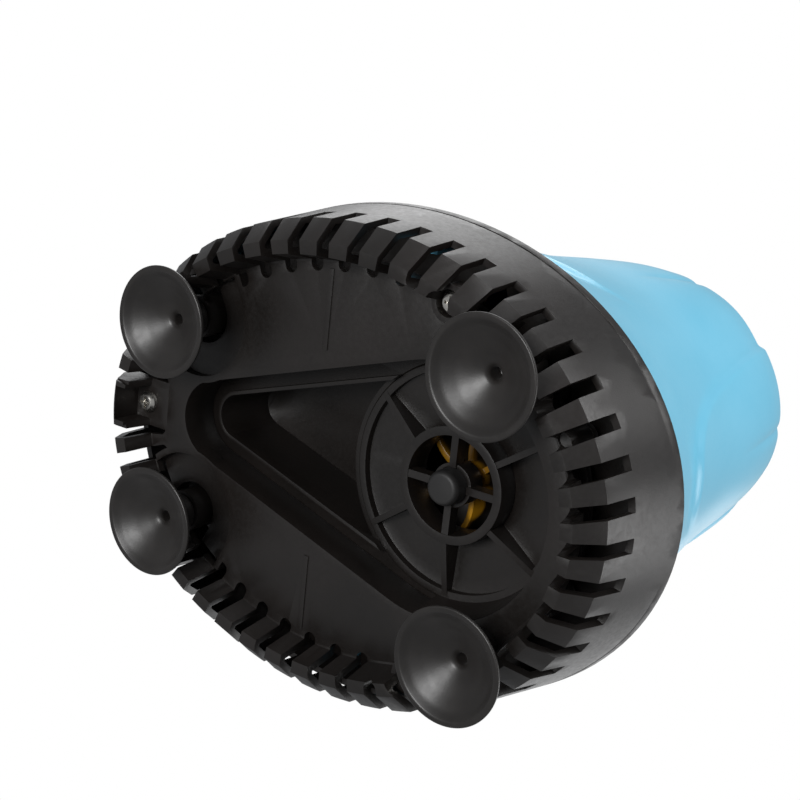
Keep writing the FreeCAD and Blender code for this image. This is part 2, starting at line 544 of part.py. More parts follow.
def make_cover():
    foot_z = SKIRT_TOP_Z + 0.1
    shell = cover_body(0, foot_z)
    lip = loft([(SKIRT_TOP, LIP_Z, -WALL - 1.3), (SKIRT_TOP, foot_z + 2.0, -WALL - 1.3)])
    shell = shell.fuse(lip)
    inner = cover_body(-COVER_WALL, foot_z).fuse(
        loft([(SKIRT_TOP, LIP_Z - 1.0, -WALL - 3.2), (SKIRT_TOP, foot_z + 1.0, -WALL - 3.2)]))
    shell = shell.cut(inner)

    # screw posts that reach down to the strainer
    base_zone = cylinder(60, 0, foot_z + 1, 0, 0).fuse(box(0, 79.5, -9, 9, 0, foot_z + 1))
    envelope = cover_body(-0.5, foot_z).fuse(base_zone)
    for x, y, top in ((FRONT_SCREW[0], 0.0, 66.0), (SIDE_SCREW[0], SIDE_SCREW[1], 76.0),
                      (SIDE_SCREW[0], -SIDE_SCREW[1], 76.0)):
        post = cylinder(3.6, FLOOR_Z + WALL + 0.1, top, x, y)
        length = math.hypot(x + 5.0, y)
        web = box(0, 14.0, -0.9, 0.9, foot_z + 3.0, top)
        web.rotate(V(0, 0, 0), V(0, 0, 1), math.degrees(math.atan2(y / length, (x + 5.0) / length)))
        web.translate(V(x, y, 0))
        shell = shell.fuse(post.fuse(web).common(envelope))
        shell = shell.cut(cylinder(SCREW_HOLE_R, 0, FLOOR_Z + WALL + 14.0, x, y))
    x, y, width, _ = TAB
    for tab, side in zip(snap_tabs(0), (1, -1)):
        y0, y1 = sorted((side * y, side * (y + 5.5)))
        shelf = box(x - width / 2, x + width / 2, y0, y1, LIP_Z, LIP_Z + 1.8)
        shell = shell.fuse(tab.fuse(shelf.common(lip)))
    shell = shell.cut(cylinder(PIPE_R[1] + 0.3, 120, 200, RISER_X, 0))
    shell = shell.cut(cylinder(6.1, 120, 200, *GLAND))
    return shell.removeSplitter()


def make_gland():
    x, y = GLAND
    body = cylinder(6.0, 148.0, 163.0, x, y).fuse(hex_prism(17.0, COVER_CROWN_Z + 0.1, 159.4, x, y))
    parts["cable_gland"] = body.cut(cylinder(3.6, 100, 200, x, y)).removeSplitter()
    nut = turned([(6.1, 159.6), (8.6, 159.6), (8.6, 165.6), (7.0, 168.2), (3.8, 168.2), (3.8, 166.6),
                  (6.1, 163.6)], x, y)
    for k in range(12):
        angle = math.radians(30 * k)
        nut = nut.cut(cylinder(0.8, 159, 165.0, x + 8.9 * math.cos(angle), y + 8.9 * math.sin(angle)))
    parts["gland_nut"] = nut.removeSplitter()
    parts["gland_seal"] = ring(2.9, 3.55, 150.0, 165.8, x, y)
    parts["gland_locknut"] = hex_prism(17.0, 149.0, 152.6, x, y).cut(cylinder(6.05, 100, 200, x, y))


# ---- suction cups ------------------------------------------------------------------------
def make_cup(x, y):
    return turned([(CUP_R - CUP_FLAT, 0), (CUP_R, 0), (CUP_R, 0.9), (13.0, 2.6), (9.0, 5.0), (6.0, 7.6),
                   (5.0, 9.6), (5.0, 13.7), (2.5, 13.7), (2.5, 18.1), (4.2, 18.1), (4.2, 19.2), (2.6, 21.8),
                   (0, 21.8), (0, 8.4), (1.1, 8.4), (1.5, 6.6), (5.0, 5.0), (9.0, 2.9), (12.0, 1.2)], x, y)


# ---- assembly ----------------------------------------------------------------------------
parts["floor_plate"], parts["strainer_comb"] = make_strainer()
parts["intake_cover"] = make_intake_cover()
parts["bearing_bracket"] = make_bearing_bracket()
parts["strainer_deck"] = make_deck()
parts["volute_casing"] = make_volute()
parts["volute_gasket"] = ring(DISH_R + 0.2, DISH_R + 2.4, CHAMBER_Z[0], CHAMBER_Z[0] + 0.8, ROTOR_X, 0)
parts["impeller"] = make_impeller()
parts["rotor_magnet"] = make_magnet()
parts["shaft"] = cylinder(SHAFT_R, SHAFT_Z[0], SHAFT_Z[1], ROTOR_X, 0)
make_bearings()
make_motor()
make_outlet()
parts["body_cover"] = make_cover()
make_gland()
for name, (x, y) in CUPS.items():
    parts["suction_cup_" + name] = make_cup(x, y)

base_screws = [pan_screw(FRONT_SCREW[0], 0, FLOOR_Z - 2.0, 12.0)]
for side in (1, -1):
    base_screws.append(pan_screw(SIDE_SCREW[0], side * SIDE_SCREW[1], 12.0, 12.0))
parts["base_screws"] = Part.makeCompound(base_screws)
parts["cover_screws"] = Part.makeCompound(
    [pan_screw(x, y, FLANGE_TOP_Z + 2.0, 6.5, up=False) for x, y in POSTS])
parts["volute_screws"] = Part.makeCompound(
    [pan_screw(*around_rotor(VOLUTE_EAR_R, angle), FLANGE_TOP_Z + 7.6, 7.0, up=False)
     for angle in VOLUTE_SCREW_ANGLES])
parts["motor_screws"] = Part.makeCompound(
    [pan_screw(*around_rotor(MOTOR_SCREW_R, angle), 65.8, 9.0, up=False) for angle in MOTOR_SCREW_ANGLES])

os.makedirs("parts", exist_ok=True)
for name, shape in parts.items():
    if not shape.isValid():
        print("invalid", name)
    print(name, len(shape.Solids), round(shape.Volume / 1000.0, 2), "cm3")
    shape.exportStep("parts/" + name + ".step")
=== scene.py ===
import json
import math

import bmesh
import bpy
from mathutils import Matrix, Vector


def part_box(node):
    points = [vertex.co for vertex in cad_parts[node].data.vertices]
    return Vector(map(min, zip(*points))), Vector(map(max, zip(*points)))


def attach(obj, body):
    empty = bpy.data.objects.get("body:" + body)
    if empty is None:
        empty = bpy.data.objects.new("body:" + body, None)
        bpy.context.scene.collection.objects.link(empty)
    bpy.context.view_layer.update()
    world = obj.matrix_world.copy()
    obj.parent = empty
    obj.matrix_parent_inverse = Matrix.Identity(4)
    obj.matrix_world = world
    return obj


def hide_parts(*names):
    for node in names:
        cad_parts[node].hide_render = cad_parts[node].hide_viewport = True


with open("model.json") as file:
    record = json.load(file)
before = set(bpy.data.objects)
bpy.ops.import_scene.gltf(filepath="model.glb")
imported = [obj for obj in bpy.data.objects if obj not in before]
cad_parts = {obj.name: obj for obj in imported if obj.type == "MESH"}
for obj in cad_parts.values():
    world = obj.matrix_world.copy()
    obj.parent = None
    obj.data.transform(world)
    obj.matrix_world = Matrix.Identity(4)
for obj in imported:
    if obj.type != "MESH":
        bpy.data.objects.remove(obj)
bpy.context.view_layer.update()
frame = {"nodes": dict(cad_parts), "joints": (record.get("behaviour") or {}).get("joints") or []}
MM = 0.001

# ---- View ---------------------------------------------------------------------------------
# The underside is seen from below and behind, from the left, through a long lens. The pump
# seems to lie on its side because the viewer's own up direction is tilted.
ROTOR_X = frame["joints"][0]["pos_m"][0]
camera_data = bpy.data.cameras.new("camera")
camera_data.lens = 67.5
camera_data.sensor_width = 36.0
camera_data.clip_start = 0.01
camera = bpy.data.objects.new("camera", camera_data)
bpy.context.scene.collection.objects.link(camera)
CAMERA_RIGHT = Vector((-0.806, 0.1002, 0.5834))
CAMERA_UP = Vector((0.230, 0.9612, 0.1525))
CAMERA_BACK = Vector((-0.5455, 0.2571, -0.7977))
CAMERA_PLACE = Vector((ROTOR_X - 0.1894, 0.1157, -0.2801))
camera.matrix_world = Matrix.Translation(CAMERA_PLACE) @ Matrix(
    (CAMERA_RIGHT, CAMERA_UP, CAMERA_BACK)).transposed().to_4x4()
bpy.context.scene.camera = camera
bpy.context.scene.view_settings.view_transform = "Standard"


# ---- Studio -------------------------------------------------------------------------------
# White surroundings, a sheet of matt white paper under the pump, and large diffused lamps.
# The sheet is clear from below, so that the underside stays open to view.
def add_node(tree, kind, settings=None, links=None):
    """Adds a node; settings are its properties or input values, links are {input: socket}."""
    made = tree.nodes.new(kind)
    for key, value in (settings or {}).items():
        if isinstance(key, str) and hasattr(made, key):
            setattr(made, key, value)
        else:
            made.inputs[key].default_value = value
    for key, socket in (links or {}).items():
        tree.links.new(socket, made.inputs[key])
    return made


def srgb(code):
    """Linear colour with alpha from an sRGB hex code."""
    channels = [int(code[i:i + 2], 16) / 255 for i in (1, 3, 5)]
    return [c / 12.92 if c <= 0.04045 else ((c + 0.055) / 1.055) ** 2.4 for c in channels] + [1.0]


def new_material(name):
    """An empty material and its node tree."""
    made = bpy.data.materials.new(name)
    made.use_nodes = True
    made.node_tree.nodes.clear()
    return made, made.node_tree


SEEN_STRENGTH = 1.0
FILL_STRENGTH = 0.34
world = bpy.data.worlds.new("studio")
bpy.context.scene.world = world
world.use_nodes = True
tree = world.node_tree
tree.nodes.clear()
seen = add_node(tree, "ShaderNodeBackground", {"Color": (1, 1, 1, 1), "Strength": SEEN_STRENGTH})
fill = add_node(tree, "ShaderNodeBackground", {"Color": (0.95, 0.97, 1, 1), "Strength": FILL_STRENGTH})
path = add_node(tree, "ShaderNodeLightPath")
both = add_node(tree, "ShaderNodeMixShader",
                links={0: path.outputs["Is Camera Ray"], 1: fill.outputs[0], 2: seen.outputs[0]})
add_node(tree, "ShaderNodeOutputWorld", links={"Surface": both.outputs[0]})

SHEET_HALF = 1.2
SHEET_DROP = 0.0002
corners = [(x * SHEET_HALF, y * SHEET_HALF, 0) for x, y in ((-1, -1), (1, -1), (1, 1), (-1, 1))]
sheet_mesh = bpy.data.meshes.new("floor")
sheet_mesh.from_pydata(corners, [], [(0, 1, 2, 3)])
sheet = bpy.data.objects.new("floor", sheet_mesh)
bpy.context.scene.collection.objects.link(sheet)
sheet.location.z = -SHEET_DROP
# Uncoated white paper: no gloss, so it only takes a soft shadow.
paper, tree = new_material("matt_white_paper")
matt = add_node(tree, "ShaderNodeBsdfDiffuse", {"Color": srgb("#F4F4F2")})
clear = add_node(tree, "ShaderNodeBsdfTransparent")
side = add_node(tree, "ShaderNodeNewGeometry")
one_sided = add_node(tree, "ShaderNodeMixShader",
                     links={0: side.outputs["Backfacing"], 1: matt.outputs[0], 2: clear.outputs[0]})
add_node(tree, "ShaderNodeOutputMaterial", links={"Surface": one_sided.outputs[0]})
sheet_mesh.materials.append(paper)
sheet.visible_diffuse = False
sheet.visible_glossy = False
sheet.visible_transmission = False
sheet.visible_shadow = False

AIM = Vector((0.0, 0.0, 0.06))


def soft_box(name, right, up, back, size, power):
    """Square lamp at a place given along the viewer's right, up and back directions, in metres."""
    data = bpy.data.lights.new(name, "AREA")
    data.size = size
    data.energy = power
    lamp = bpy.data.objects.new(name, data)
    bpy.context.scene.collection.objects.link(lamp)
    place = AIM + CAMERA_RIGHT * right + CAMERA_UP * up + CAMERA_BACK * back
    turn = (place - AIM).to_track_quat("Z", "Y").to_matrix().to_4x4()
    lamp.matrix_world = Matrix.Translation(place) @ turn


soft_box("above_and_behind", 0.05, 0.85, -0.70, 0.8, 4.5)
soft_box("above", 0.3, 1.1, 0.35, 0.6, 3.8)
soft_box("beside_viewer", -0.46, 0.16, 0.95, 0.40, 8.0)
soft_box("right_of_viewer", 0.95, 0.50, 0.36, 0.5, 4.2)
soft_box("low_beside_cover", 0.95, -0.45, 0.12, 0.6, 4.5)
soft_box("low_right", 0.35, -0.60, -0.75, 0.9, 2.2)


# ---- Strainer -----------------------------------------------------------------------------
# Injection-moulded black ABS. The floor plate and the comb skirt round it are most likely one
# moulding on the real pump, kept here as two nodes. A deck plate closes them from above.
def moulded_plastic(name, colour, pale, roughness, grain_mm, grain_height, uneven=0.10, coat=0.0):
    """Moulded plastic: its colour drifts a little, its surface has a grain and its gloss is uneven."""
    made, tree = new_material(name)
    place = add_node(tree, "ShaderNodeTexCoord").outputs["Object"]
    cloud = add_node(tree, "ShaderNodeTexNoise", {"Scale": 1 / (22.0 * MM), "Detail": 3.0}, {"Vector": place})
    speck = add_node(tree, "ShaderNodeTexNoise", {"Scale": 1 / (1.1 * MM), "Detail": 2.0}, {"Vector": place})
    drift = add_node(tree, "ShaderNodeMapRange", {"From Min": 0.35, "From Max": 0.7},
                     {"Value": cloud.outputs["Fac"]})
    tint = add_node(tree, "ShaderNodeMix", {"data_type": "RGBA", 6: srgb(colour), 7: srgb(pale)},
                    {0: drift.outputs[0]})
    gloss = add_node(tree, "ShaderNodeMapRange", {"To Min": roughness - uneven, "To Max": roughness + uneven},
                     {"Value": speck.outputs["Fac"]})
    grain = add_node(tree, "ShaderNodeTexNoise", {"Scale": 1 / (grain_mm * MM), "Detail": 2.0},
                     {"Vector": place})
    relief = add_node(tree, "ShaderNodeBump", {"Strength": 1.0, "Distance": grain_height * MM},
                      {"Height": grain.outputs["Fac"]})
    shader = add_node(tree, "ShaderNodeBsdfPrincipled",
                      {"IOR": 1.5, "Coat Weight": coat, "Coat Roughness": 0.25},
                      {"Base Color": tint.outputs[2], "Roughness": gloss.outputs[0],
                       "Normal": relief.outputs[0]})
    add_node(tree, "ShaderNodeOutputMaterial", links={"Surface": shader.outputs[0]})
    return made


# ABS off a spark-eroded tool: satin, with soft wide highlights that break up in the grain.
black_abs = moulded_plastic("black_abs", "#13100E", "#1B1715", 0.38, 0.35, 0.02)

# Curved faces are shaded round, and edges bent by more than this stay crisp.
CRISP_FROM = math.radians(24)
crisp = bpy.data.node_groups.new("crisp_edges", "GeometryNodeTree")
crisp.interface.new_socket("Geometry", in_out="INPUT", socket_type="NodeSocketGeometry")
crisp.interface.new_socket("Geometry", in_out="OUTPUT", socket_type="NodeSocketGeometry")
given = add_node(crisp, "NodeGroupInput")
bend = add_node(crisp, "GeometryNodeInputMeshEdgeAngle")
sharp = add_node(crisp, "FunctionNodeCompare",
                 {"data_type": "FLOAT", "operation": "GREATER_THAN", "B": CRISP_FROM},
                 {"A": bend.outputs["Unsigned Angle"]})
faces_round = add_node(crisp, "GeometryNodeSetShadeSmooth", {"domain": "FACE", "Shade Smooth": True},
                       {"Geometry": given.outputs[0]})
edges_sharp = add_node(crisp, "GeometryNodeSetShadeSmooth", {"domain": "EDGE", "Shade Smooth": False},
                       {"Geometry": faces_round.outputs[0], "Selection": sharp.outputs[0]})
add_node(crisp, "NodeGroupOutput", links={"Geometry": edges_sharp.outputs[0]})

ROUND_FROM = math.radians(28)
WELD_REACH = 0.002 * MM


def finish_node(name, material, round_mm=0.0):
    """Gives a CAD piece its material, and rounds its edges by round_mm as the tool would."""
    piece = frame["nodes"][name]
    piece.data.materials.clear()
    piece.data.materials.append(material)
    weld = piece.modifiers.new("weld", "WELD")
    weld.merge_threshold = WELD_REACH
    if round_mm:
        bevel = piece.modifiers.new("rounding", "BEVEL")
        bevel.width = round_mm * MM
        bevel.segments = 2
        bevel.limit_method = "ANGLE"
        bevel.angle_limit = ROUND_FROM
    shade = piece.modifiers.new("crisp_edges", "NODES")
    shade.node_group = crisp


finish_node("floor_plate", black_abs, 0.5)
finish_node("strainer_comb", black_abs, 0.4)
finish_node("strainer_deck", black_abs, 0.2)

# ---- Intake cover -------------------------------------------------------------------------
# Black ABS moulding held inside the teardrop opening: a flange with a bead, the pocket
# towards the front, and the ribbed dish round the suction eye.
finish_node("intake_cover", black_abs, 0.3)

# ---- Bearing bracket ----------------------------------------------------------------------
# Black ABS ring moulded to fit the suction eye. Its four spokes carry the collar of the
# front bearing.
finish_node("bearing_bracket", black_abs, 0.25)

# ---- Volute casing ------------------------------------------------------------------------
# Black ABS moulding over the intake cover: pump chamber, duct and seat of the motor. It is
# screwed down and lies inside the cover.
finish_node("volute_casing", black_abs, 0.3)

# ---- Motor casing -------------------------------------------------------------------------
# Black ABS housing with its lid, and the thin can that keeps water off the windings. All are
# inside the cover.
for name in ("rotor_can", "motor_housing", "motor_lid"):
    finish_node(name, black_abs, 0.3)

# ---- Outlet -------------------------------------------------------------------------------
# Black ABS pipe that leads up from the volute, and the moulded hose tail with its barbs on
# top of it, above the cover.
for name in ("outlet_pipe", "hose_tail"):
    finish_node(name, black_abs, 0.3)


# ---- Seals and rear bush seat -------------------------------------------------------------
# Compression-moulded nitrile rubber, clamped between the casings, in the gland and round the
# rear bush.
def moulded_rubber(name, colour, bloom, roughness, sheen):
    """Moulded rubber: matt, with a faint bloom in patches and a fine tool grain."""
    made, tree = new_material(name)
    place = add_node(tree, "ShaderNodeTexCoord").outputs["Object"]
    cloud = add_node(tree, "ShaderNodeTexNoise", {"Scale": 1 / (9.0 * MM), "Detail": 4.0}, {"Vector": place})
    patch = add_node(tree, "ShaderNodeMapRange", {"From Min": 0.4, "From Max": 0.75},
                     {"Value": cloud.outputs["Fac"]})
    tint = add_node(tree, "ShaderNodeMix", {"data_type": "RGBA", 6: srgb(colour), 7: srgb(bloom)},
                    {0: patch.outputs[0]})
    speck = add_node(tree, "ShaderNodeTexNoise", {"Scale": 1 / (2.5 * MM), "Detail": 2.0}, {"Vector": place})
    gloss = add_node(tree, "ShaderNodeMapRange", {"To Min": roughness - 0.06, "To Max": roughness + 0.08},
                     {"Value": speck.outputs["Fac"]})
    grain = add_node(tree, "ShaderNodeTexNoise", {"Scale": 1 / (0.6 * MM), "Detail": 3.0}, {"Vector": place})
    relief = add_node(tree, "ShaderNodeBump", {"Strength": 1.0, "Distance": 0.012 * MM},
                      {"Height": grain.outputs["Fac"]})
    shader = add_node(tree, "ShaderNodeBsdfPrincipled",
                      {"IOR": 1.52, "Sheen Weight": sheen, "Sheen Roughness": 0.5},
                      {"Base Color": tint.outputs[2], "Roughness": gloss.outputs[0],
                       "Normal": relief.outputs[0]})
    add_node(tree, "ShaderNodeOutputMaterial", links={"Surface": shader.outputs[0]})
    return made


# Nitrile: nearly black and flat, with hardly any highlight.
nitrile = moulded_rubber("nitrile_rubber", "#171616", "#201F1E", 0.55, 0.0)
for name in ("volute_gasket", "outlet_seal", "gland_seal", "rear_bush_seat"):
    finish_node(name, nitrile)


# ---- Front bush seat ----------------------------------------------------------------------
# Rounded nitrile cap pressed into the collar of the bearing bracket. It cushions the ceramic
# bush of the shaft.
def lathe(name, profile, x, y, steps=96):
    """Turned mesh about a vertical axis from (radius, height) points in millimetres."""
    mesh = bpy.data.meshes.new(name)
    work = bmesh.new()
    rings = []
    for r, z in profile:
        if r < 1e-6:
            rings.append([work.verts.new((x, y, z * MM))])
        else:
            rings.append([work.verts.new((x + r * MM * math.cos(2 * math.pi * k / steps),
                                          y + r * MM * math.sin(2 * math.pi * k / steps), z * MM))
                          for k in range(steps)])
    for a, b in zip(rings, rings[1:]):
        for k in range(steps):
            corners = [a[k % len(a)], a[(k + 1) % len(a)], b[(k + 1) % len(b)], b[k % len(b)]]
            unique = list(dict.fromkeys(corners))
            if len(unique) > 2:
                work.faces.new(unique)
    bmesh.ops.recalc_face_normals(work, faces=work.faces)
    work.to_mesh(mesh)
    work.free()
    for face in mesh.polygons:
        face.use_smooth = True
    made = bpy.data.objects.new(name, mesh)
    bpy.context.scene.collection.objects.link(made)
    return made


def rounded(points, radius, steps=4):
    """Outline in which each inner corner is turned into a small arc."""
    out = [points[0]]
    for before, at, after in zip(points, points[1:], points[2:]):
        p, a, b = Vector(at), Vector(before), Vector(after)
        reach = min(radius, (a - p).length * 0.45, (b - p).length * 0.45)
        start = p + (a - p).normalized() * reach
        end = p + (b - p).normalized() * reach
        for k in range(steps + 1):
            t = k / steps
            q = start * (1 - t) ** 2 + p * 2 * t * (1 - t) + end * t * t
            out.append((q.x, q.y))
    out.append(points[-1])
    return out


SEAT_OUTSIDE = [(0, 18.5), (3.9, 18.6), (4.65, 19.8), (4.7, 28.4)]
SEAT_INSIDE = [(3.6, 28.4), (3.6, 21.6), (0, 21.5)]
seat = lathe("front_bush_seat_cap", rounded(SEAT_OUTSIDE + SEAT_INSIDE, 0.7), ROTOR_X, 0.0)
seat.data.materials.append(nitrile)
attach(seat, "pump")
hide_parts("front_bush_seat")

# ---- Suction cups -------------------------------------------------------------------------
# Soft black rubber, moulded in one piece with neck and locking knob, and pushed through the
# floor plate. The dish is a shallow cone with a thin lip and a pip hole left by the mould core.
PIP_HOLE = [(0, 11.0), (1.2, 11.0), (1.5, 7.4)]
CUP_INSIDE = [(2.3, 6.4), (4.5, 5.5), (8.5, 3.6), (11.8, 1.6), (13.0, 0.55)]
CUP_OUTSIDE = [(13.6, 0.05), (14.7, 0.0), (15.0, 0.25), (14.9, 0.9), (13.0, 2.7), (9.0, 5.3), (6.4, 7.6)]
CUP_NECK = [(5.1, 9.8), (5.0, 13.6), (2.5, 13.8), (2.5, 18.0)]
LOCKING_KNOB = [(4.1, 18.2), (4.1, 19.3), (2.6, 21.7), (0, 21.8)]
cup_profile = rounded(PIP_HOLE + CUP_INSIDE + CUP_OUTSIDE + CUP_NECK + LOCKING_KNOB, 0.8, 5)
# Soft rubber from a polished tool: glossier than the seals, with a long highlight.
cup_rubber = moulded_rubber("cup_rubber", "#181513", "#221F1D", 0.38, 0.03)
for corner in ("front_left", "front_right", "rear_left", "rear_right"):
    low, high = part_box("suction_cup_" + corner)
    x = (low.x + high.x) / 2
    y = (low.y + high.y) / 2
    cup = lathe("suction_cup_" + corner + "_rubber", cup_profile, x, y, 128)
    cup.data.materials.append(cup_rubber)
    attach(cup, "pump")
    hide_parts("suction_cup_" + corner)

# ---- Impeller -----------------------------------------------------------------------------
# Amber acetal moulding on the shaft sleeve, with six curved vanes. Its colour carries painted shade:
# mixed most of the way to dark brown, a little less at the lower vane edges, and amber in one painted lit
# spot by the hub.
amber = moulded_plastic("amber_acetal", "#C68A12", "#DCA324", 0.32, 0.5, 0.01, 0.06)
# Painted shade: the colour darkens from the lower edges of the vanes upwards, except in a painted lit spot by
# the hub.
VANE_EDGE_Z = 32.4 * MM
FULL_SHADE_Z = 34.6 * MM
LIT_SPOT = (-0.0296, -0.0082, 0.0345)
LIT_SPOT_R = 3.4 * MM
SHADE_FROM_R = 4.6 * MM
tree = amber.node_tree
shader = tree.nodes["Principled BSDF"]
plastic_colour = shader.inputs["Base Color"].links[0].from_socket
place = add_node(tree, "ShaderNodeTexCoord").outputs["Object"]
height = add_node(tree, "ShaderNodeSeparateXYZ", links={0: place})
deep = add_node(tree, "ShaderNodeMapRange", {"From Min": VANE_EDGE_Z, "From Max": FULL_SHADE_Z},
                {"Value": height.outputs["Z"]})
painted_shade = add_node(tree, "ShaderNodeMapRange", {"To Min": 0.72, "To Max": 1.0}, {"Value": deep.outputs[0]})
from_lit_spot = add_node(tree, "ShaderNodeVectorMath", {"operation": "DISTANCE", 1: LIT_SPOT}, {0: place})
outside_lit_spot = add_node(tree, "ShaderNodeMapRange", {"From Min": LIT_SPOT_R, "From Max": SHADE_FROM_R},
                 {"Value": from_lit_spot.outputs["Value"]})
painted_shade_amount = add_node(tree, "ShaderNodeMath", {"operation": "MULTIPLY"},
                     {0: painted_shade.outputs[0], 1: outside_lit_spot.outputs[0]})
# Dark brown of the painted shade, mixed over the amber outside the painted lit spot.
shaded_colour = add_node(tree, "ShaderNodeMix", {"data_type": "RGBA", 7: srgb("#1A1409")},
                 {0: painted_shade_amount.outputs[0], 6: plastic_colour})
tree.links.new(shaded_colour.outputs[2], shader.inputs["Base Color"])
finish_node("impeller", amber, 0.25)


# ---- Magnet, shaft, bushes and washer -----------------------------------------------------
# Sintered ferrite ring magnet on a ground alumina shaft, which turns in two alumina bushes
# with a thrust washer of the same.
def hard_ceramic(name, colour, fleck, roughness):
    """Sintered ceramic: faint flecks, ground smooth."""
    made, tree = new_material(name)
    place = add_node(tree, "ShaderNodeTexCoord").outputs["Object"]
    flecks = add_node(tree, "ShaderNodeTexNoise", {"Scale": 1 / (0.8 * MM), "Detail": 4.0},
                      {"Vector": place})
    tint = add_node(tree, "ShaderNodeMix", {"data_type": "RGBA", 6: srgb(colour), 7: srgb(fleck)},
                    {0: flecks.outputs["Fac"]})
    speck = add_node(tree, "ShaderNodeTexNoise", {"Scale": 1 / (3.0 * MM), "Detail": 2.0}, {"Vector": place})
    gloss = add_node(tree, "ShaderNodeMapRange", {"To Min": roughness * 0.7, "To Max": roughness * 1.3},
                     {"Value": speck.outputs["Fac"]})
    shader = add_node(tree, "ShaderNodeBsdfPrincipled", {"IOR": 1.7},
                      {"Base Color": tint.outputs[2], "Roughness": gloss.outputs[0]})
    add_node(tree, "ShaderNodeOutputMaterial", links={"Surface": shader.outputs[0]})
    return made


# Ferrite is dark grey and dull; alumina is ivory with a tight bright highlight.
ferrite = hard_ceramic("ferrite", "#2C2D30", "#3A3B3F", 0.5)
alumina = hard_ceramic("alumina", "#E7E4DA", "#D8D4C6", 0.25)
finish_node("rotor_magnet", ferrite, 0.4)
for name in ("shaft", "front_bush", "rear_bush", "thrust_washer"):
    finish_node(name, alumina)


# ---- Stator -------------------------------------------------------------------------------
# Punched steel laminations, and enamelled copper coils on natural nylon bobbins, all potted
# in black epoxy inside the motor housing.
def layered_metal(name, colour, line, pitch_mm, roughness):
    """Metal in fine layers: sheets of a stack or turns of a coil, drawn at twice their pitch to show."""
    made, tree = new_material(name)
    place = add_node(tree, "ShaderNodeTexCoord").outputs["Object"]
    band_at_scale_1 = 0.314
    scale = band_at_scale_1 / (pitch_mm * MM) / 2
    wave = add_node(tree, "ShaderNodeTexWave", {"bands_direction": "Z", "Scale": scale, "Distortion": 0.3},
                    {"Vector": place})
    tint = add_node(tree, "ShaderNodeMix", {"data_type": "RGBA", 6: srgb(line), 7: srgb(colour)},
                    {0: wave.outputs["Fac"]})
    relief = add_node(tree, "ShaderNodeBump", {"Strength": 1.0, "Distance": 0.1 * MM},
                      {"Height": wave.outputs["Fac"]})
    shader = add_node(tree, "ShaderNodeBsdfPrincipled", {"Metallic": 1.0, "Roughness": roughness},
                      {"Base Color": tint.outputs[2], "Normal": relief.outputs[0]})
    add_node(tree, "ShaderNodeOutputMaterial", links={"Surface": shader.outputs[0]})
    return made


# Cut edges of steel sheets: grey with dark joints. Enamelled wire: red-brown and shiny.
lamination_steel = layered_metal("lamination_steel", "#8E9094", "#4C4D50", 0.5, 0.4)
enamelled_copper = layered_metal("enamelled_copper", "#B8632E", "#6E3415", 0.4, 0.3)
# Undyed nylon is milky; cast epoxy is deep black, glossy and slightly wavy.
nylon = moulded_plastic("natural_nylon", "#D8D3C2", "#E2DDCD", 0.5, 0.5, 0.01)
epoxy = moulded_plastic("potting_epoxy", "#141416", "#1B1B1D", 0.2, 6.0, 0.05)
finish_node("stator_core", lamination_steel)
for side_name in ("left", "right"):
    finish_node("coil_" + side_name, enamelled_copper)
    finish_node("bobbin_" + side_name, nylon)
finish_node("potting_resin", epoxy)

# ---- Screws -------------------------------------------------------------------------------
# Stainless steel with pan heads and a cross recess, cold-headed and tumbled, which leaves them
# bright, with a highlight softened by tiny dents. They hold strainer, cover, volute and motor.
stainless, tree = new_material("stainless_steel")
place = add_node(tree, "ShaderNodeTexCoord").outputs["Object"]
tumbled = add_node(tree, "ShaderNodeTexNoise", {"Scale": 1 / (0.5 * MM), "Detail": 3.0}, {"Vector": place})
gloss = add_node(tree, "ShaderNodeMapRange", {"To Min": 0.18, "To Max": 0.38},
                 {"Value": tumbled.outputs["Fac"]})
relief = add_node(tree, "ShaderNodeBump", {"Strength": 1.0, "Distance": 0.01 * MM},
                  {"Height": tumbled.outputs["Fac"]})
shader = add_node(tree, "ShaderNodeBsdfPrincipled", {"Metallic": 1.0, "Base Color": srgb("#C9C6C0")},
                  {"Roughness": gloss.outputs[0], "Normal": relief.outputs[0]})
add_node(tree, "ShaderNodeOutputMaterial", links={"Surface": shader.outputs[0]})
for name in ("base_screws", "cover_screws", "volute_screws", "motor_screws"):
    finish_node(name, stainless, 0.12)

# ---- Cable gland --------------------------------------------------------------------------
# Black nylon gland through the crown of the cover, with its nut and locknut. Moulded nylon is
# a shade greyer and duller than the ABS. The lead itself isn't part of this object.
black_nylon = moulded_plastic("black_nylon", "#1A1A1A", "#222222", 0.5, 0.5, 0.015)
for name in ("cable_gland", "gland_nut", "gland_locknut"):
    finish_node(name, black_nylon, 0.25)

# ---- Blue cover ---------------------------------------------------------------------------
# Blue ABS shell that tapers upwards from a flared foot, with five broad petals and a vein at
# the top of each. A polished tool gives it a clear highlight with a soft edge. Two snap tabs
# reach down through the deck and hold it.
blue_abs = moulded_plastic("blue_abs", "#66C0E0", "#70C5E4", 0.34, 0.6, 0.008, 0.05, 0.4)
# Height, centre x, half length and half width of the cover, in millimetres.
OUTLINES = [(33.0, -0.1, 80.4, 63.7), (38.0, -0.2, 80.2, 63.5), (43.0, -0.5, 79.0, 62.6),
            (48.0, -0.9, 76.6, 60.3), (55.0, -1.4, 74.0, 58.2), (65.0, -2.2, 70.6, 55.6),
            (80.0, -3.8, 66.2, 52.2), (100.0, -6.6, 60.8, 48.4), (125.0, -10.6, 54.6, 46.0),
            (140.0, -13.1, 50.3, 44.3), (150.0, -14.8, 46.6, 42.2), (160.0, -16.5, 42, 40)]
FOOT_Z = 39.15
EDGE_Z = 150.0
CROWN_Z = 155.6
CROWN_DRAW_IN = 0.42       # share of the radius that the crown rounds inwards by
COVER_STEPS = 540
WALL_ROWS = 111
CROWN_ROWS = 12
COVER_WALL = 2.0 * MM

